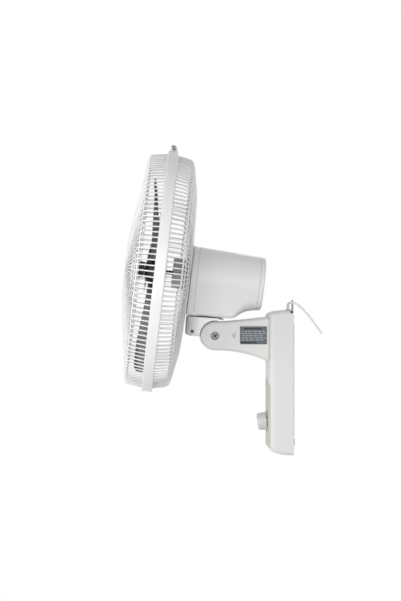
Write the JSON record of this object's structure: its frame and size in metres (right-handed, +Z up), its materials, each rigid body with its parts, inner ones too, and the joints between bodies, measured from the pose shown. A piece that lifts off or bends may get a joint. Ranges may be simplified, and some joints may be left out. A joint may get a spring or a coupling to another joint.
{
  "type": "wall mounted fan",
  "caption": "Oscillating wall fan: wall column with speed knob, forked arm, tilting neck, and a swinging head with motor, blade and wire cage.",
  "frame": {"origin": "on the steel mounting plate's back face, on the column's centre line at the middle of its height", "axes": "+Y into the wall, -Y the way the fan blows, +Z up, +X lateral, to the right of someone who faces the wall"},
  "size_m": [0.4446, 0.367, 0.5698],
  "materials": {
    "shell_white": "satin moulded, light grey-white",
    "arm_white": "satin moulded, warm white",
    "panel_greige": "fine texture",
    "grey_plastic": "satin",
    "black_plastic": "gloss",
    "blade_navy": "glossy, slightly smoky",
    "wire_enamel": "white powder coat",
    "steel": "zinc plated",
    "zinc": "bright zinc",
    "foil": "satin foil, bare",
    "cast_alloy": "as cast",
    "laminations": "stacked sheet steel",
    "copper": "enamelled wire",
    "bronze": "sintered",
    "rubber": "matt",
    "cord_vinyl": "smooth vinyl",
    "phenolic": "moulded",
    "capacitor": "moulded"
  },
  "bodies": {
    "base": {"mounting_plate": "steel", "column_shell": "shell_white", "back_cover": "arm_white", "control_panel": "panel_greige", "rotary_switch": "phenolic", "run_capacitor": "capacitor", "terminal_block": "arm_white", "cable_bush": "rubber", "power_cord": "cord_vinyl", "wall_pad_left": "rubber", "wall_pad_right": "rubber", "cover_screw_1": "steel", "cover_screw_2": "steel", "cover_screw_3": "steel", "cover_screw_4": "steel", "plate_screw_1": "steel", "plate_screw_2": "steel", "arm_screw_1": "steel", "arm_screw_2": "steel", "arm": "arm_white", "tilt_bolt": "grey_plastic", "tilt_nut": "steel", "tilt_washer_left": "steel", "tilt_washer_right": "steel", "rating_plate": "foil"},
    "knob": {"speed_knob": "arm_white", "switch_spindle": "steel"},
    "neck": {"neck_bracket": "shell_white", "neck_screw": "steel", "swing_pivot": "steel", "swing_washer": "black_plastic", "swing_nut": "zinc", "link_anchor": "steel"},
    "head": {"motor_housing": "shell_white", "motor_front_cover": "shell_white", "rear_cap": "shell_white", "cap_screw": "steel", "front_bracket": "cast_alloy", "rear_bracket": "cast_alloy", "bearing_front": "bronze", "bearing_rear": "bronze", "stator_core": "laminations", "winding_front": "copper", "winding_rear": "copper", "lock_nut": "grey_plastic", "centre_plate": "wire_enamel", "front_grille": "wire_enamel", "rear_grille": "wire_enamel", "guard_ring": "shell_white", "clamp_screw": "zinc", "clamp_nut": "zinc", "grille_badge": "arm_white", "swing_motor": "zinc"},
    "crank": {"swing_crank": "bronze"},
    "link": {"swing_link": "steel"},
    "rotor": {"fan_blade": "blade_navy", "spinner_nut": "black_plastic", "motor_shaft": "steel", "drive_pin": "steel", "rotor_core": "laminations"}
  },
  "joints": [
    {"name": "tilt", "type": "hinge", "parent": "base", "child": "neck", "pos_m": [0, -0.1457, 0.0856], "axis": [1, 0, 0], "range_deg": [-5, 25]},
    {"name": "swing", "type": "hinge", "parent": "neck", "child": "head", "pos_m": [0, -0.16317, 0.11937], "axis": [0, 0.0732, 0.9973], "range_deg": [-40, 40]},
    {"name": "crank_turn", "type": "hinge", "parent": "head", "child": "crank", "pos_m": [-0.00714, -0.12926, 0.11688], "axis": [0, 0.0732, 0.9973], "range_deg": [-60, 60]},
    {"name": "link_turn", "type": "hinge", "parent": "crank", "child": "link", "pos_m": [-0.02, -0.12926, 0.11688], "axis": [0, 0.0732, 0.9973], "range_deg": [-60, 60]},
    {"name": "blade_spin", "type": "hinge", "parent": "head", "child": "rotor", "pos_m": [0, -0.24617, 0.20428], "axis": [0, -0.9936, 0.1132], "continuous": true},
    {"name": "knob_turn", "type": "hinge", "parent": "base", "child": "knob", "pos_m": [0, -0.0475, -0.072], "axis": [0, 0.9954, 0.0958], "range_deg": [0, 135]}
  ],
  "couplings": [
    {"joint": "crank_turn", "follows": "swing", "ratio": -1.5},
    {"joint": "link_turn", "follows": "swing", "ratio": 1.5}
  ]
}
